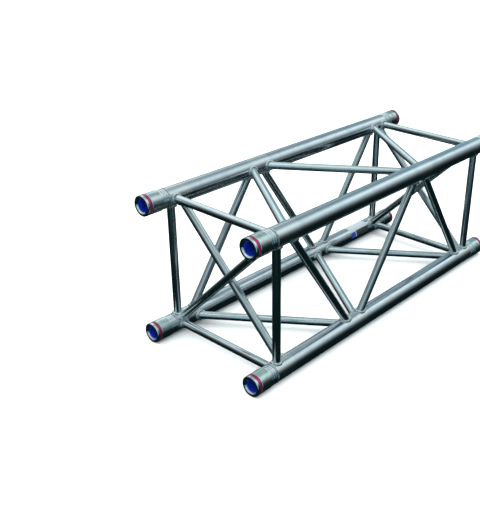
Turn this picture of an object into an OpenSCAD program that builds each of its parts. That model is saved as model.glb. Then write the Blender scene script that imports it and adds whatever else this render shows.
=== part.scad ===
// Square box section of lighting truss: four chord tubes, coped and welded braces,
// and a turning lock collar on each of its eight end couplers.
// Origin: middle of the length and of the width, on the plane that the section rests on.
// +X runs along the chords, +Y points to the back, +Z points up.

/* [Section] */
// Length over the coupler end faces
section_length = 1010; // [800:10:2000]
// Distance between chord axes, both across and up
axis_spacing = 339; // [260:1:420]
// Distance from an end face to the axis of its end frame
end_overhang = 86; // [84:1:120]

/* [Tubes] */
// Outside diameter of a chord tube
chord_od = 48; // [46:0.5:49]
// Wall of a chord tube
chord_wall = 3; // [2:0.5:3]
// Outside diameter of a brace tube
brace_od = 20; // [16:1:22]
// Wall of a brace tube
brace_wall = 2; // [1.5:0.5:3]

/* [Lacing] */
// Distance from an end frame to the first diagonal, along the chord
first_node = 35; // [32:1:60]
// Distance between two diagonals that meet on one chord
node_gap = 25; // [20:1:50]
// Diagonals in each face of the section
diagonals_per_face = 3; // [3:2:5]
// How far the diagonals of the back and bottom faces are set toward the right end
back_shift = 4; // [-6:0.5:6]
// How much further the middle diagonals of every face are set toward the right end
middle_shift = 4; // [-6:0.5:6]
// Distance from an end frame to its outer cross brace, along the chord
cross_offset = 4; // [2:1:6]
// Gap between the two cross braces where they pass
cross_gap = 0.4; // [0.2:0.1:2]

/* [End coupler] */
// Outside diameter of the coupler lip and of the lock collar
coupler_od = 51; // [50:0.5:54]
// Length of the polished lip at the mouth
lip_length = 6.5; // [3:0.5:7]
// Width of the red indicator ring
ring_width = 7; // [4:0.5:7]
// Length of the lock collar
collar_length = 33; // [26:0.5:34]
// Length of the ribbed neck between the collar and the chord
neck_length = 22.6; // [20:0.2:24]
// Ribs around the neck
neck_ribs = 3; // [2:1:4]
// Diameter of the bearing that the collar turns on
journal_d = 44; // [43:0.5:45]
// Bore of the coupler, where the bush sits
coupler_bore = 36; // [34:0.5:38]
// Diameter of the flared mouth
mouth_d = 38; // [36:0.5:43]
// Bore of the dyed bush that takes the spigot
bush_bore = 31; // [28:0.5:33]
// Diameter of the cross hole in the lock collar
collar_hole_d = 8; // [5:0.5:10]

/* [Label] */
// Length of the blank label on the lower back chord
label_length = 87; // [50:1:90]
// Distance from the middle of the section to the middle of the label
label_x = 324; // [250:1:330]
// Angle that the label wraps around the chord
label_sweep = 130; // [90:5:170]

/* [Hidden] */
$fn = 96;
eps = 0.01;
collar_play = 0.05;
collar_end_play = 0.3;
chord_play = 0.05;
lip_chamfer = 1;
ring_recess = 0.3;
ring_edge = 0.4;
collar_front_chamfer = 1.6;
collar_back_chamfer = 0.6;
throat_clearance = 0.4;
throat_length = 1.4;
bush_length = 48;
bush_chamfer = 1;
plug_length = 20;
rib_radius = 2.6;
neck_waist = 2.2;
neck_groove = 3;
label_thick = 0.15;
label_tilt = 60;

chord_r = chord_od / 2;
brace_r = brace_od / 2;
coupler_r = coupler_od / 2;
journal_r = journal_d / 2;
end_x = section_length / 2;
frame_x = end_x - end_overhang;
axis_z = coupler_r + axis_spacing / 2;
ring_end = lip_length + ring_width;
neck_start = ring_end + collar_length + 2 * collar_end_play;
neck_end = neck_start + neck_length;
neck_r = chord_r - neck_waist;
rib_pitch = (neck_length - neck_groove) / neck_ribs;
throat_r = bush_bore / 2 + throat_clearance;
mouth_depth = mouth_d / 2 - throat_r;
bush_inset = mouth_depth + throat_length;
chord_length = section_length - 2 * neck_end;
inner_cross_offset = cross_offset + brace_od + cross_gap;
face_run = 2 * (frame_x - first_node) - (diagonals_per_face - 1) * node_gap;
diagonal_reach = face_run / diagonals_per_face;

// Chords: name, side across (-1 front, 1 back), level (-1 bottom, 1 top)
front_bottom = ["front_bottom", -1, -1];
front_top = ["front_top", -1, 1];
back_bottom = ["back_bottom", 1, -1];
back_top = ["back_top", 1, 1];
chords = [front_bottom, front_top, back_bottom, back_top];

// Faces: name, the chord where the first diagonal starts, the chord where it ends, shift of its diagonals
faces = [
    ["front", front_top, front_bottom, 0],
    ["back", back_bottom, back_top, back_shift],
    ["top", front_top, back_top, 0],
    ["bottom", back_bottom, front_bottom, back_shift]
];

// Ends: name, turn about Z that brings the left end there
ends = [["left", 0], ["right", 180]];

// Straight braces of the left end frame: name, from chord, to chord
end_braces = [
    ["post_front", front_bottom, front_top],
    ["post_back", back_bottom, back_top],
    ["rail_top", front_top, back_top],
    ["rail_bottom", front_bottom, back_bottom]
];

function end_label(name, e) = str(name, "_", e[0]);
function coupler_label(name, e, c) = str(name, "_", e[0], "_", c[0]);
function diagonal_label(face, i) = str("diagonal_", face[0], "_", i + 1);

// Point on a chord's axis at a station along X
function on_chord(chord, x) = [x, chord[1] * axis_spacing / 2, axis_z + chord[2] * axis_spacing / 2];

// Shift of diagonal i that only the middle ones have
function inner_shift(i) = i > 0 && i < diagonals_per_face - 1 ? middle_shift : 0;

// Station where diagonal i of a face starts
function diagonal_start(face, i) =
    -frame_x + first_node + i * (diagonal_reach + node_gap) + face[3] + inner_shift(i);

// Chord where diagonal i of a face starts, and the one where it ends
function diagonal_chord(face, i, far) = face[(i % 2 == 0) == far ? 2 : 1];

// Solid cylinder between two points
module rod(from, to, r) {
    run = to - from;
    translate(from)
        rotate([0, acos(run[2] / norm(run)), atan2(run[1], run[0])])
            cylinder(r = r, h = norm(run));
}

// Solid cylinder that fills a chord's outside, the shape that a brace is coped to
module chord_envelope(chord) {
    rod(on_chord(chord, -end_x), on_chord(chord, end_x), chord_r);
}

// Brace tube between the axes of two chords, with saddle ends coped to both
module coped_brace(chord_a, x_a, chord_b, x_b) {
    from = on_chord(chord_a, x_a);
    to = on_chord(chord_b, x_b);
    color("#8f9da3") difference() {
        rod(from, to, brace_r);
        rod(from, to, brace_r - brace_wall);
        chord_envelope(chord_a);
        chord_envelope(chord_b);
    }
}

module chord(c) {
    from = on_chord(c, -chord_length / 2);
    to = on_chord(c, chord_length / 2);
    step = [eps, 0, 0];
    color("#a9b6c2") difference() {
        rod(from, to, chord_r);
        rod(from - step, to + step, chord_r - chord_wall);
    }
}

module face_diagonal(face, i) {
    x = diagonal_start(face, i);
    coped_brace(diagonal_chord(face, i, false), x, diagonal_chord(face, i, true), x + diagonal_reach);
}

// Brace of an end frame, modelled at the left end
module end_brace(brace) {
    coped_brace(brace[1], -frame_x, brace[2], -frame_x);
}

// Cross brace next to the end frame, also coped to the posts and rails that it meets
module cross_outer() {
    x = -frame_x + cross_offset;
    difference() {
        coped_brace(front_top, x, back_bottom, x);
        for (brace = end_braces)
            rod(on_chord(brace[1], -frame_x), on_chord(brace[2], -frame_x), brace_r);
    }
}

// Cross brace that passes behind the outer one
module cross_inner() {
    x = -frame_x + inner_cross_offset;
    coped_brace(back_top, x, front_bottom, x);
}

// Turns a shape modelled at the left end to either end
module turned_to(e) {
    rotate([0, 0, e[1]]) children();
}

// Moves a shape from the origin to a chord's mouth, with the shape's +X pointing inwards
module at_mouth(e, c) {
    translate(on_chord(c, e[1] == 0 ? -end_x : end_x)) turned_to(e) children();
}

// Revolves a profile drawn as [radius, distance from the end face] about the chord's axis
module revolved() {
    rotate([0, 90, 0]) rotate_extrude() children();
}

// Welded coupler: lip, bearing for the collar, ribbed neck and plug inside the chord
module coupler() {
    inner_r = throat_r - 1;
    plug_r = chord_r - chord_wall - chord_play;
    color("#c3c9cc") revolved() difference() {
        union() {
            polygon([
                [inner_r, 0],
                [coupler_r - lip_chamfer, 0],
                [coupler_r, lip_chamfer],
                [coupler_r, lip_length],
                [journal_r, lip_length],
                [journal_r, neck_start],
                [neck_r, neck_start],
                [neck_r, neck_end],
                [plug_r, neck_end],
                [plug_r, neck_end + plug_length],
                [inner_r, neck_end + plug_length]
            ]);
            for (i = [0 : neck_ribs - 1])
                translate([neck_r, neck_start + (i + 0.5) * rib_pitch]) circle(r = rib_radius);
        }
        polygon([
            [0, -eps],
            [mouth_d / 2, -eps],
            [throat_r, mouth_depth],
            [throat_r, bush_inset],
            [coupler_bore / 2, bush_inset],
            [coupler_bore / 2, neck_end + plug_length + eps],
            [0, neck_end + plug_length + eps]
        ]);
    }
}

// Collar that turns on the coupler's bearing, cross-drilled at 45 degrees
module lock_collar() {
    front = ring_end + collar_end_play;
    back = front + collar_length;
    bore_r = journal_r + collar_play;
    color("#93a09f") difference() {
        revolved() polygon([
            [bore_r, front],
            [coupler_r - collar_front_chamfer, front],
            [coupler_r, front + collar_front_chamfer],
            [coupler_r, back - collar_back_chamfer],
            [coupler_r - collar_back_chamfer, back],
            [bore_r, back]
        ]);
        translate([(front + back) / 2, 0, 0])
            rotate([-45, 0, 0])
                cylinder(d = collar_hole_d, h = coupler_od + 2, center = true);
    }
}

module indicator_ring() {
    outer_r = coupler_r - ring_recess;
    color("#a3123f") revolved() polygon([
        [journal_r, lip_length],
        [outer_r - ring_edge, lip_length],
        [outer_r, lip_length + ring_edge],
        [outer_r, ring_end - ring_edge],
        [outer_r - ring_edge, ring_end],
        [journal_r, ring_end]
    ]);
}

module bush() {
    back = bush_inset + bush_length;
    color("#0b1fb5") revolved() polygon([
        [bush_bore / 2 + bush_chamfer, bush_inset],
        [coupler_bore / 2, bush_inset],
        [coupler_bore / 2, back],
        [bush_bore / 2, back],
        [bush_bore / 2, bush_inset + bush_chamfer]
    ]);
}

// Blank film label around the upper front of the lower back chord
module blank_label() {
    color("#e6e9ec")
        translate(on_chord(back_bottom, label_x - label_length / 2))
            rotate([90 - label_tilt, 0, 0])
                rotate([0, 90, 0])
                    rotate([0, 0, 180 - label_sweep / 2])
                        rotate_extrude(angle = label_sweep)
                            translate([chord_r, 0]) square([label_thick, label_length]);
}

for (c = chords)
    chord(c);

for (face = faces, i = [0 : diagonals_per_face - 1])
    face_diagonal(face, i);

for (e = ends) {
    for (brace = end_braces)
        turned_to(e) end_brace(brace);
    turned_to(e) cross_outer();
    turned_to(e) cross_inner();
}

for (e = ends, c = chords) {
    at_mouth(e, c) coupler();
    at_mouth(e, c) lock_collar();
    at_mouth(e, c) bush();
    at_mouth(e, c) indicator_ring();
}

blank_label();
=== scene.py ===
"""Square box section of lighting truss: finishes, weld beads, black rings as painted shade lines beside
the indicator rings, label, floor, lights and camera.
"""

import logging
import math
from abc import ABC, abstractmethod
from dataclasses import dataclass
from enum import Enum
from typing import Iterable, Sequence

import bpy
from mathutils import Matrix, Vector, noise


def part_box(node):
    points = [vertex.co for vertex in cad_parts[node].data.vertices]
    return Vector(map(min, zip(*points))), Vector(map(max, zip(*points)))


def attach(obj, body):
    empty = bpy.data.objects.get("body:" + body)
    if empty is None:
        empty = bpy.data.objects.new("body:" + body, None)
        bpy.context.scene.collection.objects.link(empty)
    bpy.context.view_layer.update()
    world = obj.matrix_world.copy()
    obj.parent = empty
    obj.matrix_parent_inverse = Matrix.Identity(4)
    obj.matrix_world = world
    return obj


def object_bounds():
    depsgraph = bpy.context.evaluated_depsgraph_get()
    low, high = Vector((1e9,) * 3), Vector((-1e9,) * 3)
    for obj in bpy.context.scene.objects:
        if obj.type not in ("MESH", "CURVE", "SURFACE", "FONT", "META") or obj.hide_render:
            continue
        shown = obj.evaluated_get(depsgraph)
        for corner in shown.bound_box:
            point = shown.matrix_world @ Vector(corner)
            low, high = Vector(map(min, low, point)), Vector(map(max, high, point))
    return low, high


logging.basicConfig(level=logging.INFO, format="%(message)s")
log = logging.getLogger("truss")

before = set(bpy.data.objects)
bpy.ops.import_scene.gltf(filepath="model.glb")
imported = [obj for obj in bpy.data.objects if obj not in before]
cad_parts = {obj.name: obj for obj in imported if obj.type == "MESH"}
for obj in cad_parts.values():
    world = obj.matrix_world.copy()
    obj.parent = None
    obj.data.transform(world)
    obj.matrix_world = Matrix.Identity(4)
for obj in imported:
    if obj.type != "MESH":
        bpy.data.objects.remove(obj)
cad_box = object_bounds()

MM = 0.001
FRAME_BODY = "frame"
Triple = tuple[float, float, float]
Feed = bpy.types.NodeSocket | float | Sequence[float]


# ---------------------------------------------------------------- shader graph


@dataclass
class Graph:
    """Shader graph of a material or a world, with short calls for the nodes that the finishes share."""

    owner: bpy.types.Material | bpy.types.World

    @classmethod
    def fresh(cls, name: str) -> "Graph":
        """Starts a material with an empty graph.

        Args:
            name: The material's name.

        Returns:
            The graph of the new material.
        """
        material = bpy.data.materials.new(name)
        material.use_nodes = True
        material.node_tree.nodes.clear()
        return cls(material)

    def add(self, kind: str, **settings: object) -> bpy.types.Node:
        """Adds a node and sets its properties.

        Args:
            kind: The node's Blender type.
            settings: Property values by name.

        Returns:
            The new node.
        """
        node = self.owner.node_tree.nodes.new(kind)
        for key, value in settings.items():
            setattr(node, key, value)
        return node

    def feed(self, socket: bpy.types.NodeSocket, value: Feed) -> None:
        """Gives an input a constant, or links it to another node's output.

        Args:
            socket: The input to fill.
            value: A number, a colour or vector, or an output socket.
        """
        if isinstance(value, bpy.types.NodeSocket):
            self.owner.node_tree.links.new(value, socket)
        else:
            socket.default_value = value

    def place(self) -> bpy.types.NodeSocket:
        """Returns the point in the piece's own frame, which at rest is the row frame in metres."""
        return self.add("ShaderNodeTexCoord").outputs["Object"]

    def parts(self, vector: Feed) -> tuple[bpy.types.NodeSocket, ...]:
        """Returns the three components of a vector."""
        node = self.add("ShaderNodeSeparateXYZ")
        self.feed(node.inputs[0], vector)
        return tuple(node.outputs)

    def maths(self, operation: str, *values: Feed) -> bpy.types.NodeSocket:
        """Applies a scalar operation.

        Args:
            operation: The Math node's operation.
            values: Its inputs, in order.

        Returns:
            The result's socket.
        """
        node = self.add("ShaderNodeMath", operation=operation)
        for socket, value in zip(node.inputs, values):
            self.feed(socket, value)
        return node.outputs[0]

    def vector(self, operation: str, *values: Feed) -> bpy.types.NodeSocket:
        """Applies a vector operation.

        Args:
            operation: The Vector Math node's operation.
            values: Its inputs, in order; SCALE takes a vector and a number.

        Returns:
            The result's socket, a number for DOT_PRODUCT and LENGTH.
        """
        node = self.add("ShaderNodeVectorMath", operation=operation)
        sockets = [node.inputs[0], node.inputs["Scale"]] if operation == "SCALE" else node.inputs
        for socket, value in zip(sockets, values):
            self.feed(socket, value)
        return node.outputs["Value" if operation in ("DOT_PRODUCT", "LENGTH") else "Vector"]

    def noise(
        self, vector: Feed, scale: float, detail: float = 3.0, roughness: float = 0.55
    ) -> bpy.types.NodeSocket:
        """Samples fractal noise.

        Args:
            vector: Where to sample it.
            scale: Features per unit length.
            detail: Octaves.
            roughness: Weight of the finer octaves.

        Returns:
            The noise value, about 0 to 1.
        """
        node = self.add("ShaderNodeTexNoise")
        self.feed(node.inputs["Vector"], vector)
        self.feed(node.inputs["Scale"], scale)
        self.feed(node.inputs["Detail"], detail)
        self.feed(node.inputs["Roughness"], roughness)
        return node.outputs[0]

    def ramp(
        self, value: Feed, low: float, high: float, start: float = 0.0, end: float = 1.0
    ) -> bpy.types.NodeSocket:
        """Maps a range smoothly onto another and clamps it.

        Args:
            value: The number to map.
            low: Input that gives start.
            high: Input that gives end.
            start: Output at low.
            end: Output at high.

        Returns:
            The mapped number's socket.
        """
        node = self.add("ShaderNodeMapRange", interpolation_type="SMOOTHSTEP")
        for socket, number in zip(node.inputs, (value, low, high, start, end)):
            self.feed(socket, number)
        return node.outputs[0]

    def blend(self, factor: Feed, first: Feed, second: Feed) -> bpy.types.NodeSocket:
        """Mixes two colours.

        Args:
            factor: 0 for the first colour, 1 for the second.
            first: A colour or a colour socket.
            second: A colour or a colour socket.

        Returns:
            The mixed colour's socket.
        """
        node = self.add("ShaderNodeMix", data_type="RGBA")
        self.feed(node.inputs[0], factor)
        for socket, value in ((node.inputs[6], first), (node.inputs[7], second)):
            self.feed(socket, value if isinstance(value, bpy.types.NodeSocket) else (*value, 1.0))
        return node.outputs[2]

    def weighted(self, *terms: tuple[Feed, float], base: float = 0.0) -> bpy.types.NodeSocket:
        """Adds up weighted numbers.

        Args:
            terms: Pairs of a socket and its weight.
            base: Constant that the sum starts from.

        Returns:
            The sum's socket.
        """
        total: Feed = base
        for value, weight in terms:
            total = self.maths("MULTIPLY_ADD", value, weight, total)
        return total

    def bump(self, height: Feed, distance: float, strength: float = 1.0) -> bpy.types.NodeSocket:
        """Turns a height into a shading normal.

        Args:
            height: Height, 0 to 1.
            distance: Depth of a full step, in metres.
            strength: How strongly it shows.

        Returns:
            The normal's socket.
        """
        node = self.add("ShaderNodeBump")
        self.feed(node.inputs["Strength"], strength)
        self.feed(node.inputs["Distance"], distance)
        self.feed(node.inputs["Height"], height)
        return node.outputs[0]

    def surface(self, **inputs: Feed) -> bpy.types.Material:
        """Ends the graph in a Principled surface.

        Args:
            inputs: Values for its sockets, with underscores for the spaces in their names.

        Returns:
            The finished material.
        """
        shader = self.add("ShaderNodeBsdfPrincipled")
        for key, value in inputs.items():
            socket = shader.inputs[key.replace("_", " ")]
            plain = not isinstance(value, bpy.types.NodeSocket)
            self.feed(socket, (*value, 1.0) if plain and socket.type == "RGBA" else value)
        output = self.add("ShaderNodeOutputMaterial")
        self.feed(output.inputs[0], shader.outputs[0])
        return self.owner


# ---------------------------------------------------------------- finishes


@dataclass(frozen=True)
class Finish(ABC):
    """A surface finish and the record's material slot that it belongs to."""

    name: str
    slot: str

    @abstractmethod
    def material(self) -> bpy.types.Material:
        """Builds the finish's material."""

    def dress(self, obj: bpy.types.Object, material: bpy.types.Material) -> None:
        """Puts a material on every slot of an object.

        Args:
            obj: The object to dress.
            material: The material to put on it.
        """
        obj.data.materials.clear()
        obj.data.materials.append(material)


@dataclass(frozen=True)
class DrawnTube(Finish):
    """Drawn aluminium tube: streaks along it, scuffs around it and cleaned stretches by its welds."""

    axis: Triple = (1.0, 0.0, 0.0)
    bright: Triple = (0.74, 0.78, 0.82)
    dull: Triple = (0.60, 0.65, 0.70)
    cleaned: Triple = (0.86, 0.87, 0.87)
    roughness: float = 0.13
    scuffing: float = 1.0
    stations: tuple[float, ...] = ()
    station_reach: float = 26 * MM
    station_core: float = 0.45
    station_strength: float = 0.55

    def material(self) -> bpy.types.Material:
        """Builds the tube's material."""
        g = Graph.fresh(self.name)
        place = g.place()
        along = g.vector("DOT_PRODUCT", place, self.axis)
        lengthwise = g.vector("SCALE", self.axis, g.maths("MULTIPLY", along, -0.985))
        across = g.vector("ADD", place, lengthwise)
        streak = g.noise(across, 330.0, 4.0, 0.62)
        hair = g.noise(across, 1500.0, 2.0)
        around = g.vector("ADD", g.vector("SCALE", place, 0.02), g.vector("SCALE", self.axis, along))
        scuff = g.noise(around, 620.0, 3.0, 0.7)
        patch = g.noise(place, 9.0, 3.0)
        stain = g.ramp(g.noise(place, 26.0, 5.0, 0.6), 0.42, 0.72)
        scuffed_patch = g.ramp(patch, 0.5, 0.64, 0.0, self.scuffing)
        scuffed = g.maths("MULTIPLY", g.ramp(scuff, 0.56, 0.74), scuffed_patch)
        clean = self._cleaned_zone(g, along, place)
        tone = g.weighted((streak, 0.8), (stain, 0.3), (scuffed, -0.3), base=-0.1)
        metal = g.blend(g.ramp(tone, 0.1, 0.75), self.bright, self.dull)
        colour = g.blend(clean, metal, self.cleaned)
        rough = g.weighted(
            (streak, 0.08), (stain, 0.04), (scuffed, 0.12), (clean, 0.16), base=self.roughness - 0.04
        )
        height = g.weighted((streak, 0.35), (hair, 0.2), (scuffed, 0.35), (stain, 0.1))
        normal = g.bump(height, 0.012 * MM, 0.6)
        return g.surface(Base_Color=colour, Metallic=1.0, Roughness=rough, Normal=normal)

    def _cleaned_zone(self, g: Graph, along: Feed, place: Feed) -> Feed:
        """Masks the stretches that were brushed clean beside the welds.

        Args:
            g: The material's graph.
            along: Distance along the tube.
            place: The point itself.

        Returns:
            0 on the plain tube, 1 beside a weld.
        """
        if not self.stations:
            return 0.0
        ragged = g.weighted((g.noise(place, 90.0, 4.0), 22 * MM), base=-11 * MM)
        nearest: Feed = 1.0
        for station in self.stations:
            gap = g.maths("ABSOLUTE", g.maths("SUBTRACT", along, station))
            nearest = g.maths("MINIMUM", nearest, gap)
        gap = g.maths("ADD", nearest, ragged)
        core = self.station_reach * self.station_core
        return g.ramp(gap, self.station_reach, core, 0.0, self.station_strength)


@dataclass(frozen=True)
class TurnedMetal(Finish):
    """Aluminium turned on a lathe and polished, with fine tool lines around the chord axis."""

    bright: Triple = (0.92, 0.93, 0.94)
    dull: Triple = (0.74, 0.76, 0.78)
    roughness: float = 0.09

    def material(self) -> bpy.types.Material:
        """Builds the turned metal's material."""
        g = Graph.fresh(self.name)
        place = g.place()
        rings = g.noise(g.vector("MULTIPLY", place, (1.0, 0.02, 0.02)), 2600.0, 2.0)
        smear = g.noise(place, 60.0, 4.0, 0.6)
        tone = g.ramp(g.weighted((rings, 0.4), (smear, 0.7)), 0.35, 0.85)
        rough = g.weighted((rings, 0.05), (smear, 0.06), base=self.roughness - 0.04)
        normal = g.bump(g.weighted((rings, 1.0), (smear, 0.5)), 0.005 * MM, 0.6)
        colour = g.blend(tone, self.bright, self.dull)
        return g.surface(Base_Color=colour, Metallic=1.0, Roughness=rough, Normal=normal)


@dataclass(frozen=True)
class BlastedMetal(Finish):
    """Bead-blasted collar metal, matte on its barrel, with a painted highlight in its colour on its end
    chamfers and real wear along its scratches.
    """

    matte: Triple = (0.74, 0.83, 0.80)
    shade: Triple = (0.60, 0.70, 0.68)
    # Bright colour for both the painted chamfer highlight and the real scratch wear.
    worn_and_highlight: Triple = (0.86, 0.87, 0.88)
    end_x: float = 0.5
    front: float = 13.8 * MM
    back: float = 46.8 * MM

    def material(self) -> bpy.types.Material:
        """Builds the collar's material."""
        g = Graph.fresh(self.name)
        place = g.place()
        depth = g.maths("SUBTRACT", self.end_x, g.maths("ABSOLUTE", g.parts(place)[0]))
        grain = g.noise(place, 1400.0, 2.0, 0.6)
        cloud = g.noise(place, 75.0, 4.0, 0.6)
        stretched = g.vector("MULTIPLY", place, (9.0, 1.0, 1.4))
        scratch = g.ramp(g.noise(stretched, 120.0, 3.0, 0.7), 0.62, 0.70)
        ragged = g.weighted((g.noise(place, 260.0, 3.0), 1.2 * MM), base=-0.6 * MM)
        rim = g.maths("ADD", depth, ragged)
        # Painted highlight: a brighter colour in a band at each end of the collar, where its chamfers
        # glint.
        front_highlight = g.ramp(rim, self.front + 2.6 * MM, self.front + 1.2 * MM)
        back_highlight = g.ramp(rim, self.back - 1.4 * MM, self.back - 0.5 * MM)
        end_highlight = g.maths("MAXIMUM", front_highlight, back_highlight)
        # The bright colour marks both the painted chamfer highlight and the real wear along the
        # scratches.
        wear_and_highlight = g.maths("MAXIMUM", end_highlight, g.maths("MULTIPLY", scratch, 0.5))
        body = g.blend(g.ramp(cloud, 0.35, 0.7), self.matte, self.shade)
        rough = g.weighted((grain, 0.10), (wear_and_highlight, -0.10), base=0.19)
        height = g.weighted((grain, 0.8), (cloud, 0.4), (scratch, -0.8))
        return g.surface(
            Base_Color=g.blend(wear_and_highlight, body, self.worn_and_highlight),
            Metallic=1.0,
            Roughness=rough,
            Normal=g.bump(height, 0.06 * MM, 0.7),
        )


@dataclass(frozen=True)
class AnodisedMetal(Finish):
    """Dyed anodised aluminium with fine drawn lines and a few rubbed spots."""

    colour: Triple = (0.5, 0.5, 0.5)
    deep: Triple = (0.2, 0.2, 0.2)
    rubbed: Triple = (0.7, 0.7, 0.7)
    lines: Triple = (0.03, 1.0, 1.0)
    roughness: float = 0.2
    metallic: float = 0.85

    def material(self) -> bpy.types.Material:
        """Builds the anodised metal's material."""
        g = Graph.fresh(self.name)
        place = g.place()
        drawn = g.noise(g.vector("MULTIPLY", place, self.lines), 900.0, 3.0, 0.6)
        cloud = g.noise(place, 120.0, 3.0)
        spots = g.ramp(g.noise(place, 420.0, 3.0, 0.7), 0.66, 0.76, 0.0, 0.35)
        dye = g.blend(g.ramp(g.weighted((drawn, 0.7), (cloud, 0.3)), 0.35, 0.65), self.colour, self.deep)
        rough = g.weighted((drawn, 0.12), (spots, 0.3), base=self.roughness - 0.04)
        return g.surface(
            Base_Color=g.blend(spots, dye, self.rubbed),
            Metallic=self.metallic,
            Roughness=rough,
            Normal=g.bump(drawn, 0.02 * MM, 0.6),
            Coat_Weight=0.35,
            Coat_Roughness=0.08,
        )


@dataclass(frozen=True)
class WeldMetal(Finish):
    """Weld metal, silvery with oxide tints and fine pits."""

    silver: Triple = (0.86, 0.88, 0.88)
    grey: Triple = (0.50, 0.53, 0.54)
    straw: Triple = (0.66, 0.62, 0.52)

    def material(self) -> bpy.types.Material:
        """Builds the weld metal's material."""
        g = Graph.fresh(self.name)
        place = g.place()
        cloud = g.noise(place, 130.0, 4.0, 0.6)
        tint = g.ramp(g.noise(place, 45.0, 2.0), 0.55, 0.7, 0.0, 0.5)
        pits = g.noise(place, 1900.0, 3.0, 0.65)
        metal = g.blend(g.ramp(cloud, 0.4, 0.72), self.silver, self.grey)
        colour = g.blend(tint, metal, self.straw)
        rough = g.weighted((cloud, 0.2), (pits, 0.10), base=0.06)
        return g.surface(
            Base_Color=colour,
            Metallic=1.0,
            Roughness=rough,
            Normal=g.bump(g.weighted((pits, 0.6), (cloud, 0.8)), 0.12 * MM, 0.7),
        )


@dataclass(frozen=True)
class ShadeLineRubber(Finish):
    """Black rubber with a dull bloom, for the rings that paint the shade lines beside the indicator
    rings.
    """

    def material(self) -> bpy.types.Material:
        """Builds the rubber's material."""
        g = Graph.fresh(self.name)
        place = g.place()
        bloom = g.noise(place, 240.0, 4.0, 0.6)
        grain = g.noise(place, 2200.0, 2.0)
        colour = g.blend(g.ramp(bloom, 0.45, 0.75), (0.012, 0.012, 0.013), (0.05, 0.05, 0.052))
        rough = g.weighted((bloom, 0.25), base=0.38)
        return g.surface(Base_Color=colour, Roughness=rough, Normal=g.bump(grain, 0.03 * MM, 0.5))


@dataclass(frozen=True)
class LabelFilm(Finish):
    """Blank printed film: a pale field with a plain blue block and a dark band, rubbed in patches."""

    axis_y: float = 0.0
    axis_z: float = 0.0
    low_x: float = 0.0
    high_x: float = 0.1
    low_angle: float = -5.0
    high_angle: float = 125.0

    def material(self) -> bpy.types.Material:
        """Builds the label's material."""
        g = Graph.fresh(self.name)
        place = g.place()
        x, y, z = g.parts(place)
        length = self.high_x - self.low_x
        u = g.maths("DIVIDE", g.maths("SUBTRACT", x, self.low_x), length)
        rise, reach = g.maths("SUBTRACT", z, self.axis_z), g.maths("SUBTRACT", self.axis_y, y)
        angle = g.maths("ARCTAN2", rise, reach)
        sweep = math.radians(self.high_angle - self.low_angle)
        v = g.maths("DIVIDE", g.maths("SUBTRACT", angle, math.radians(self.low_angle)), sweep)
        block = self._panel(g, u, v, (-0.05, 0.25), (-0.05, 0.33))
        band = self._panel(g, u, v, (0.29, 1.05), (-0.05, 0.36))
        rub = g.ramp(g.noise(place, 160.0, 5.0, 0.7), 0.5, 0.75)
        grey = g.blend(rub, (0.42, 0.46, 0.49), (0.26, 0.30, 0.33))
        inked = g.blend(block, grey, (0.012, 0.045, 0.26))
        colour = g.blend(g.maths("MULTIPLY", band, 0.96), inked, (0.004, 0.006, 0.010))
        grain = g.noise(place, 900.0, 2.0)
        return g.surface(
            Base_Color=colour,
            Roughness=g.weighted((rub, 0.2), base=0.3),
            Normal=g.bump(g.weighted((grain, 0.4), (rub, 0.5)), 0.03 * MM, 0.4),
            Coat_Weight=0.3,
            Coat_Roughness=0.2,
        )

    def _panel(
        self, g: Graph, u: Feed, v: Feed, across: tuple[float, float], up: tuple[float, float]
    ) -> Feed:
        """Masks a rectangle of the label.

        Args:
            g: The material's graph.
            u: Place along the label, 0 to 1.
            v: Place around the label, 0 to 1.
            across: Range of u.
            up: Range of v.

        Returns:
            1 inside the rectangle, 0 outside.
        """
        edge = 0.012
        sides = [
            g.ramp(u, across[0] - edge, across[0] + edge),
            g.ramp(u, across[1] + edge, across[1] - edge),
            g.ramp(v, up[0] - edge, up[0] + edge),
            g.ramp(v, up[1] + edge, up[1] - edge),
        ]
        total: Feed = 1.0
        for side in sides:
            total = g.maths("MULTIPLY", side, total)
        return total


@dataclass(frozen=True)
class PaleFloor(Finish):
    """Plain white floor with a faint mottling."""

    def material(self) -> bpy.types.Material:
        """Builds the floor's material."""
        g = Graph.fresh(self.name)
        mottle = g.noise(g.place(), 3.0, 3.0)
        colour = g.blend(mottle, (0.93, 0.93, 0.93), (0.95, 0.95, 0.95))
        return g.surface(Base_Color=colour, Roughness=0.9, Specular_IOR_Level=0.1)


# ---------------------------------------------------------------- layout of the section


class Side(Enum):
    """Front or back of the section, as the sign of Y."""

    FRONT = -1
    BACK = 1


class Level(Enum):
    """Bottom or top of the section, as the sign of Z."""

    BOTTOM = -1
    TOP = 1


class End(Enum):
    """Left or right end of the section, as the sign of X."""

    LEFT = -1
    RIGHT = 1


@dataclass(frozen=True)
class Chord:
    """One of the four chords, with its axis and radius taken from the frame."""

    side: Side
    level: Level

    @property
    def name(self) -> str:
        """Returns the name that the chord's nodes share."""
        return f"{self.side.name}_{self.level.name}".lower()

    @property
    def centre(self) -> Vector:
        """Returns the middle of the chord's axis."""
        low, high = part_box(f"chord_{self.name}")
        return (low + high) / 2

    @property
    def radius(self) -> float:
        """Returns the chord's outside radius."""
        low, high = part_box(f"chord_{self.name}")
        return (high.z - low.z) / 2

    def at(self, x: float) -> Vector:
        """Returns the point on the chord's axis at a station."""
        centre = self.centre
        return Vector((x, centre.y, centre.z))


FRONT_BOTTOM = Chord(Side.FRONT, Level.BOTTOM)
FRONT_TOP = Chord(Side.FRONT, Level.TOP)
BACK_BOTTOM = Chord(Side.BACK, Level.BOTTOM)
BACK_TOP = Chord(Side.BACK, Level.TOP)
CHORDS = (FRONT_BOTTOM, FRONT_TOP, BACK_BOTTOM, BACK_TOP)


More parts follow.
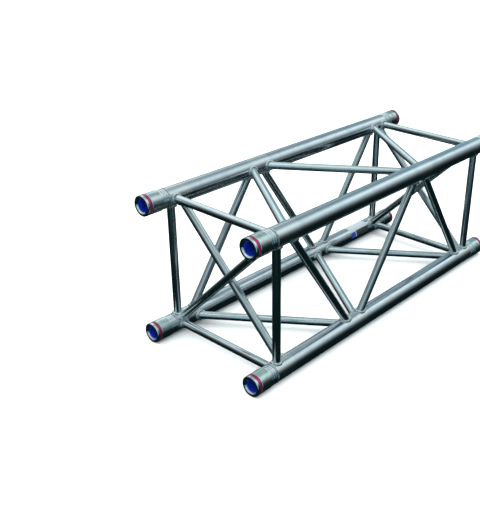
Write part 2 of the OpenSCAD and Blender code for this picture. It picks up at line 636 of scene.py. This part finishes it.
@dataclass(frozen=True)
class Brace:
    """A brace tube between two chords, by its CAD node and the two stations of its axis."""

    node: str
    first: Chord
    first_x: float
    second: Chord
    second_x: float

    @property
    def start(self) -> Vector:
        """Returns the end of the brace's axis on its first chord."""
        return self.first.at(self.first_x)

    @property
    def stop(self) -> Vector:
        """Returns the end of the brace's axis on its second chord."""
        return self.second.at(self.second_x)

    @property
    def direction(self) -> Vector:
        """Returns the unit vector along the brace."""
        return (self.stop - self.start).normalized()

    def stations_on(self, chord: Chord) -> list[float]:
        """Returns the stations where the brace meets a chord."""
        ends = ((self.first, self.first_x), (self.second, self.second_x))
        return [x for foot, x in ends if foot == chord]


@dataclass
class Lacing:
    """Layout of every brace, from the section's driving dimensions and the frame's end posts."""

    first_node: float = 35 * MM
    node_gap: float = 25 * MM
    back_shift: float = 4 * MM
    middle_shift: float = 4 * MM
    cross_offset: float = 4 * MM
    cross_spacing: float = 20.4 * MM
    diagonals_per_face: int = 3

    @property
    def frame_x(self) -> float:
        """Returns the distance from the middle of the section to an end frame."""
        low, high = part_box("post_front_right")
        return (low.x + high.x) / 2

    def diagonals(self) -> list[Brace]:
        """Returns the zigzag diagonals of the four faces."""
        faces = {
            "front": (FRONT_TOP, FRONT_BOTTOM, 0.0),
            "back": (BACK_BOTTOM, BACK_TOP, self.back_shift),
            "top": (FRONT_TOP, BACK_TOP, 0.0),
            "bottom": (BACK_BOTTOM, FRONT_BOTTOM, self.back_shift),
        }
        count = self.diagonals_per_face
        run = 2 * (self.frame_x - self.first_node) - (count - 1) * self.node_gap
        reach = run / count
        made = []
        for face, (near, far, shift) in faces.items():
            for i in range(count):
                inner = self.middle_shift if 0 < i < count - 1 else 0.0
                x = -self.frame_x + self.first_node + i * (reach + self.node_gap) + shift + inner
                start, stop = (near, far) if i % 2 == 0 else (far, near)
                made.append(Brace(f"diagonal_{face}_{i + 1}", start, x, stop, x + reach))
        return made

    def end_frames(self) -> list[Brace]:
        """Returns the posts, rails and cross braces of both end frames."""
        made = []
        for end in End:
            sign = end.value
            x = sign * self.frame_x
            outer = sign * (self.frame_x - self.cross_offset)
            inner = sign * (self.frame_x - self.cross_offset - self.cross_spacing)
            near, far = (Side.FRONT, Side.BACK) if end is End.LEFT else (Side.BACK, Side.FRONT)
            near_low, near_high = Chord(near, Level.BOTTOM), Chord(near, Level.TOP)
            far_low, far_high = Chord(far, Level.BOTTOM), Chord(far, Level.TOP)
            made.append(self._straight("post_front", end, near_low, near_high, x))
            made.append(self._straight("post_back", end, far_low, far_high, x))
            made.append(self._straight("rail_bottom", end, near_low, far_low, x))
            made.append(self._straight("rail_top", end, near_high, far_high, x))
            made.append(self._straight("cross_outer", end, near_high, far_low, outer))
            made.append(self._straight("cross_inner", end, far_high, near_low, inner))
        return made

    def _straight(self, label: str, end: End, first: Chord, second: Chord, x: float) -> Brace:
        """Returns a brace that stays at one station of an end frame."""
        return Brace(f"{label}_{end.name.lower()}", first, x, second, x)


# ---------------------------------------------------------------- meshes


Island = tuple[list[Vector], list[tuple[int, ...]]]


@dataclass(frozen=True)
class BeadStation:
    """One station along a bead: its centre, the way it bulges, and its distance from the start."""

    centre: Vector
    out: Vector
    distance: float


@dataclass(frozen=True)
class Bead:
    """A closed rippled bead swept along a loop of stations."""

    radius: float = 3.0 * MM
    ripple_pitch: float = 2.4 * MM
    ripple: float = 0.13
    lumps: float = 0.30
    lumps_per_metre: float = 140.0
    crescent_lean: float = 1.3
    sides: int = 10
    seed: float = 0.0

    def swept(self, stations: Sequence[BeadStation], closed_length: float) -> Island:
        """Sweeps the bead's section along a closed loop.

        Args:
            stations: The loop's stations, in order.
            closed_length: Length around the whole loop.

        Returns:
            The bead's vertices and faces.
        """
        count = len(stations)
        ripples = max(1, round(closed_length / self.ripple_pitch))
        verts: list[Vector] = []
        for i, station in enumerate(stations):
            ahead, behind = stations[(i + 1) % count].centre, stations[i - 1].centre
            tangent = (ahead - behind).normalized()
            out = (station.out - tangent * station.out.dot(tangent)).normalized()
            side = tangent.cross(out)
            turn = math.tau * ripples * station.distance / closed_length
            for k in range(self.sides):
                angle = math.tau * k / self.sides
                crescent = math.sin(turn + self.crescent_lean * math.cos(angle))
                crest = station.centre + out * math.cos(angle) * self.radius
                probe = crest * self.lumps_per_metre + Vector((self.seed, 0, 0))
                swell = 1 + self.ripple * crescent + self.lumps * noise.noise(probe)
                offset = out * math.cos(angle) + side * math.sin(angle)
                verts.append(station.centre + offset * self.radius * swell)
        faces = [
            (
                i * self.sides + k,
                i * self.sides + (k + 1) % self.sides,
                (i + 1) % count * self.sides + (k + 1) % self.sides,
                (i + 1) % count * self.sides + k,
            )
            for i in range(count)
            for k in range(self.sides)
        ]
        return verts, faces


def measured(loop: Sequence[tuple[Vector, Vector]]) -> tuple[list[BeadStation], float]:
    """Measures the distance along a closed loop of centres.

    Args:
        loop: Pairs of a centre and the way the bead bulges there.

    Returns:
        The stations and the loop's whole length.
    """
    stations: list[BeadStation] = []
    distance = 0.0
    for i, (centre, out) in enumerate(loop):
        stations.append(BeadStation(centre, out, distance))
        distance += (loop[(i + 1) % len(loop)][0] - centre).length
    return stations, distance


def mesh_piece(
    name: str, islands: Iterable[Island], finish: Finish, material: bpy.types.Material
) -> None:
    """Makes one smooth object from mesh islands, dresses it and puts it on the truss frame.

    Args:
        name: The piece's name.
        islands: Pairs of vertices and faces.
        finish: The finish that it takes.
        material: That finish's material.
    """
    verts: list[Vector] = []
    faces: list[tuple[int, ...]] = []
    for points, rings in islands:
        shift = len(verts)
        verts.extend(points)
        faces.extend(tuple(index + shift for index in ring) for ring in rings)
    mesh = bpy.data.meshes.new(name)
    mesh.from_pydata(verts, [], faces)
    mesh.validate()
    mesh.shade_smooth()
    obj = bpy.data.objects.new(name, mesh)
    bpy.context.scene.collection.objects.link(obj)
    finish.dress(obj, material)
    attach(obj, FRAME_BODY)


# ---------------------------------------------------------------- sub-assemblies


@dataclass
class TubeWork:
    """The chords and braces: their CAD nodes keep their shape and take drawn-tube finishes."""

    lacing: Lacing

    def dress_chords(self) -> None:
        """Gives each chord its own finish, cleaned beside its own welds."""
        braces = self.lacing.diagonals() + self.lacing.end_frames()
        for chord in CHORDS:
            stations = {round(x, 4) for brace in braces for x in brace.stations_on(chord)}
            name = f"drawn_chord_{chord.name}"
            finish = DrawnTube(name, "chord_tube", stations=tuple(sorted(stations)))
            finish.dress(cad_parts[f"chord_{chord.name}"], finish.material())
            log.info("chord %s: cleaned beside %d stations", chord.name, len(stations))

    def dress_braces(self) -> None:
        """Gives the braces one finish for each direction that they run in."""
        made: dict[Triple, bpy.types.Material] = {}
        for brace in self.lacing.diagonals() + self.lacing.end_frames():
            axis = tuple(round(v, 4) for v in brace.direction)
            finish = DrawnTube(
                f"drawn_brace_{len(made) + 1}",
                "brace_tube",
                axis=axis,
                bright=(0.72, 0.75, 0.76),
                dull=(0.60, 0.65, 0.66),
                roughness=0.15,
                scuffing=0.4,
            )
            if axis not in made:
                made[axis] = finish.material()
            finish.dress(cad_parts[brace.node], made[axis])
        log.info("braces: %d directions", len(made))


@dataclass
class Welding:
    """Every weld bead of the section."""

    lacing: Lacing
    brace_radius: float = 10 * MM
    bead_radius: float = 3.6 * MM
    loop_steps: int = 132
    neck_depth: float = 69.7 * MM
    neck_bead_radius: float = 1.3 * MM
    neck_wander: float = 0.4 * MM

    def saddle(self, chord: Chord, foot: Vector, along: Vector) -> list[tuple[Vector, Vector]]:
        """Follows the curve where a brace's surface meets a chord's surface.

        Args:
            chord: The chord that the brace stands on.
            foot: Where the brace's axis meets the chord's axis.
            along: Unit vector from the foot along the brace.

        Returns:
            Pairs of a point on the curve and the way a fillet bulges there.
        """
        first = along.orthogonal().normalized()
        second = along.cross(first)
        flat = Vector((0, 1, 1))
        rise = along * flat
        loop = []
        for i in range(self.loop_steps):
            angle = math.tau * i / self.loop_steps
            outward = first * math.cos(angle) + second * math.sin(angle)
            rim = outward * self.brace_radius * flat
            half = rise.dot(rim) / rise.length_squared
            excess = (rim.length_squared - chord.radius**2) / rise.length_squared
            reach = -half + math.sqrt(half**2 - excess)
            point = foot + along * reach + outward * self.brace_radius
            radial = ((point - foot) * flat).normalized()
            out = (radial + outward).normalized()
            loop.append((point + out * 0.2 * self.bead_radius, out))
        return loop

    def build_saddles(self, finish: Finish, material: bpy.types.Material) -> None:
        """Makes the two beads of every brace as one piece.

        Args:
            finish: The weld finish.
            material: That finish's material.
        """
        for number, brace in enumerate(self.lacing.diagonals() + self.lacing.end_frames()):
            feet = (
                (brace.first, brace.start, brace.direction),
                (brace.second, brace.stop, -brace.direction),
            )
            islands = []
            for chord, foot, along in feet:
                bead = Bead(radius=self.bead_radius, seed=7.3 * number + foot.z * 50)
                islands.append(bead.swept(*measured(self.saddle(chord, foot, along))))
            mesh_piece(f"weld_{brace.node}", islands, finish, material)
            log.info("welds of %s", brace.node)

    def build_necks(self, finish: Finish, material: bpy.types.Material) -> None:
        """Makes the beads that join each chord to its two couplers.

        Args:
            finish: The weld finish.
            material: That finish's material.
        """
        end_x = cad_box[1].x
        steps = 3 * self.loop_steps
        for chord in CHORDS:
            ring_radius = chord.radius - 0.5 * self.neck_bead_radius
            islands = []
            for end in End:
                x = end.value * (end_x - self.neck_depth)
                loop = []
                for i in range(steps):
                    angle = math.tau * i / steps
                    out = Vector((0, math.cos(angle), math.sin(angle)))
                    probe = out * 3 + Vector((x * 9, chord.centre.z * 9, 0))
                    wander = self.neck_wander * noise.noise(probe)
                    loop.append((chord.at(x + wander) + out * ring_radius, out))
                bead = Bead(radius=self.neck_bead_radius, seed=31.0 * x, lumps=0.35)
                islands.append(bead.swept(*measured(loop)))
            mesh_piece(f"weld_necks_{chord.name}", islands, finish, material)
            log.info("neck welds of chord %s", chord.name)


@dataclass
class Couplers:
    """The eight end couplers: finishes of their CAD nodes, and the thin black rings beside each
    indicator ring, which paint the dark lines of shade at its groove edges.
    """

    lip_length: float = 6.5 * MM
    ring_width: float = 7 * MM
    shade_line_radius: float = 25.0 * MM
    shade_line_bulge: float = 0.8 * MM
    around: int = 96
    sides: int = 8

    def dress(self) -> None:
        """Puts the finishes on the couplers, collars, bushes and rings."""
        finishes: dict[str, Finish] = {
            "coupler_": TurnedMetal("turned_coupler", "coupler_metal"),
            "lock_collar_": BlastedMetal("blasted_collar", "collar_metal", end_x=cad_box[1].x),
            "bush_": AnodisedMetal(
                "blue_bush",
                "bush_blue",
                colour=(0.03, 0.10, 0.95),
                deep=(0.008, 0.02, 0.42),
                rubbed=(0.10, 0.20, 0.9),
                roughness=0.24,
                metallic=0.6,
            ),
            "indicator_rings_": AnodisedMetal(
                "red_ring",
                "ring_red",
                colour=(0.70, 0.05, 0.24),
                deep=(0.42, 0.01, 0.11),
                rubbed=(0.80, 0.25, 0.35),
                lines=(1.0, 0.05, 0.05),
                roughness=0.13,
            ),
        }
        for prefix, finish in finishes.items():
            material = finish.material()
            nodes = [obj for name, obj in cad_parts.items() if name.startswith(prefix)]
            for obj in nodes:
                finish.dress(obj, material)
            log.info("%s: %d nodes", finish.name, len(nodes))

    def build_shade_lines(self, finish: Finish, material: bpy.types.Material) -> None:
        """Makes a thin black ring on each side of every indicator ring, as painted shade for the dark
        lines at its groove edges.

        Args:
            finish: The black rubber finish of these painted shade rings.
            material: That finish's material.
        """
        end_x = cad_box[1].x
        for end in End:
            for chord in CHORDS:
                # Painted shade: black rings at both edges of the indicator ring, where its groove edges
                # fall into shade.
                depths = (self.lip_length, self.lip_length + self.ring_width)
                islands = [self._ring(chord, end.value * (end_x - depth)) for depth in depths]
                mesh_piece(f"seals_{end.name.lower()}_{chord.name}", islands, finish, material)
        log.info("shade_lines: one pair on each coupler")

    def _ring(self, chord: Chord, x: float) -> Island:
        """Returns a plain round ring around a chord's axis at a station."""
        loop = []
        for i in range(self.around):
            angle = math.tau * i / self.around
            out = Vector((0, math.cos(angle), math.sin(angle)))
            loop.append((chord.at(x) + out * self.shade_line_radius, out))
        bead = Bead(radius=self.shade_line_bulge, ripple=0.0, lumps=0.0, sides=self.sides)
        return bead.swept(*measured(loop))


@dataclass
class Label:
    """The blank film label on the lower back chord."""

    chord: Chord = BACK_BOTTOM

    def dress(self) -> None:
        """Prints the label's plain panels."""
        low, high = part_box("blank_label")
        centre = self.chord.centre
        finish = LabelFilm(
            "label_film", "label_film", axis_y=centre.y, axis_z=centre.z, low_x=low.x, high_x=high.x
        )
        finish.dress(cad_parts["blank_label"], finish.material())
        log.info("label: %.0f mm long", (high.x - low.x) / MM)


# ---------------------------------------------------------------- stage


class Tint(Enum):
    """Colour of a soft panel at unit level."""

    DAYLIGHT = (0.83, 1.0, 1.03)
    COOL = (0.50, 1.0, 1.25)


@dataclass(frozen=True)
class SoftPanel:
    """A soft light far away that the metal mirrors, with its bearing in degrees from +Y toward +X."""

    role: str
    bearing: float
    height: float
    sharpness: float
    level: float
    tint: Tint

    def glow(self, g: Graph, direction: Feed) -> bpy.types.NodeSocket:
        """Returns the panel's share of the light from a direction.

        Args:
            g: The world's graph.
            direction: The direction looked in.

        Returns:
            The light's colour socket.
        """
        bearing, height = math.radians(self.bearing), math.radians(self.height)
        flat = math.cos(height)
        centre = (flat * math.sin(bearing), flat * math.cos(bearing), math.sin(height))
        closeness = g.maths("SUBTRACT", g.vector("DOT_PRODUCT", direction, centre), 1.0)
        falloff = g.maths("EXPONENT", g.maths("MULTIPLY", closeness, self.sharpness))
        return g.vector("SCALE", self.tint.value, g.maths("MULTIPLY", falloff, self.level))


@dataclass
class Studio:
    """White floor, soft lights, dark lower surroundings for the metal, and the camera."""

    floor_reach: float = 40.0
    camera_place: Triple = (-1.5081, -1.1633, 1.0393)
    azimuth: float = 50.21
    elevation: float = 26.34
    roll: float = -1.12
    lens: float = 54.05
    shift: tuple[float, float] = (-0.132, 0.0084)
    panels: tuple[SoftPanel, ...] = (
        SoftPanel("high window behind", 5, 50, 6, 1.15, Tint.DAYLIGHT),
        SoftPanel("strip behind and to the right", 33, 27, 34, 0.75, Tint.DAYLIGHT),
        SoftPanel("low glow behind", 18, 5, 30, 0.50, Tint.DAYLIGHT),
        SoftPanel("low glow to the right", 70, 5, 14, 0.55, Tint.COOL),
        SoftPanel("strip to the right", 98, 34, 36, 0.70, Tint.DAYLIGHT),
        SoftPanel("window in front and to the right", 125, 40, 11, 0.85, Tint.DAYLIGHT),
        SoftPanel("faint window in front", 175, 45, 25, 0.40, Tint.DAYLIGHT),
        SoftPanel("high window to the left", -105, 65, 6.5, 1.10, Tint.DAYLIGHT),
        SoftPanel("wide low glow to the left", -130, -5, 5, 0.35, Tint.COOL),
        SoftPanel("low strip to the left", -120, 15, 36, 0.40, Tint.DAYLIGHT),
    )
    horizon: tuple[float, float] = (-0.35, -0.30)
    sun_energy: float = 4.4
    sun_angle: float = 140.0
    sensor_width: float = 36.0
    under: Triple = (0.003, 0.011, 0.012)

    def floor(self) -> None:
        """Lays the floor, which gives no mirror image in the metal."""
        reach = self.floor_reach
        mesh = bpy.data.meshes.new("floor")
        corners = [(-reach, -reach, 0), (reach, -reach, 0), (reach, reach, 0), (-reach, reach, 0)]
        mesh.from_pydata(corners, [], [(0, 1, 2, 3)])
        obj = bpy.data.objects.new("floor", mesh)
        bpy.context.scene.collection.objects.link(obj)
        finish = PaleFloor("pale_floor", "")
        finish.dress(obj, finish.material())
        obj.visible_glossy = False

    def sky(self) -> None:
        """Makes the surroundings: soft panels above the horizon and near darkness below it."""
        world = bpy.data.worlds.new("studio")
        world.use_nodes = True
        world.node_tree.nodes.clear()
        bpy.context.scene.world = world
        g = Graph(world)
        direction = g.add("ShaderNodeTexCoord").outputs["Generated"]
        total: Feed = (0.0, 0.0, 0.0)
        for panel in self.panels:
            total = g.vector("ADD", total, panel.glow(g, direction))
            log.info("sky: %s", panel.role)
        above = g.ramp(g.parts(direction)[2], *self.horizon)
        background = g.add("ShaderNodeBackground")
        g.feed(background.inputs[0], g.blend(above, self.under, total))
        g.feed(g.add("ShaderNodeOutputWorld").inputs[0], background.outputs[0])

    def lights(self) -> None:
        """Lights the floor evenly from above, with no glint of its own in the metal."""
        data = bpy.data.lights.new("daylight", "SUN")
        data.energy = self.sun_energy
        data.angle = math.radians(self.sun_angle)
        obj = bpy.data.objects.new("daylight", data)
        bpy.context.scene.collection.objects.link(obj)
        obj.visible_glossy = False

    def camera(self) -> None:
        """Sets up the camera, level but for a small roll."""
        az, el, roll = (math.radians(v) for v in (self.azimuth, self.elevation, self.roll))
        ahead = Vector((math.cos(el) * math.sin(az), math.cos(el) * math.cos(az), -math.sin(el)))
        level = Vector((math.cos(az), -math.sin(az), 0))
        down = ahead.cross(level)
        right = math.cos(roll) * level + math.sin(roll) * down
        up = math.sin(roll) * level - math.cos(roll) * down
        data = bpy.data.cameras.new("camera")
        data.sensor_width = self.sensor_width
        data.lens = self.lens
        data.shift_x, data.shift_y = self.shift
        data.clip_start, data.clip_end = 0.05, 200.0
        obj = bpy.data.objects.new("camera", data)
        bpy.context.scene.collection.objects.link(obj)
        turn = Matrix((right, up, -ahead)).transposed()
        obj.matrix_world = Matrix.Translation(self.camera_place) @ turn.to_4x4()
        bpy.context.scene.camera = obj

    def build(self) -> None:
        """Builds the whole stage."""
        self.floor()
        self.sky()
        self.lights()
        self.camera()
        bpy.context.scene.view_settings.view_transform = "Standard"
        log.info("stage: floor, sky, lights and camera")


# ---------------------------------------------------------------- main


def main() -> None:
    """Builds every sub-assembly and the stage."""
    lacing = Lacing()
    tubes = TubeWork(lacing)
    tubes.dress_chords()
    tubes.dress_braces()
    weld = WeldMetal("weld_metal", "weld_metal")
    weld_material = weld.material()
    welding = Welding(lacing)
    welding.build_saddles(weld, weld_material)
    welding.build_necks(weld, weld_material)
    couplers = Couplers()
    couplers.dress()
    # Black rubber rings that paint the shade lines at the indicator rings' groove edges.
    rubber = ShadeLineRubber("seal_rubber", "seal_rubber")
    couplers.build_shade_lines(rubber, rubber.material())
    Label().dress()
    Studio().build()


if __name__ == "__main__":
    main()
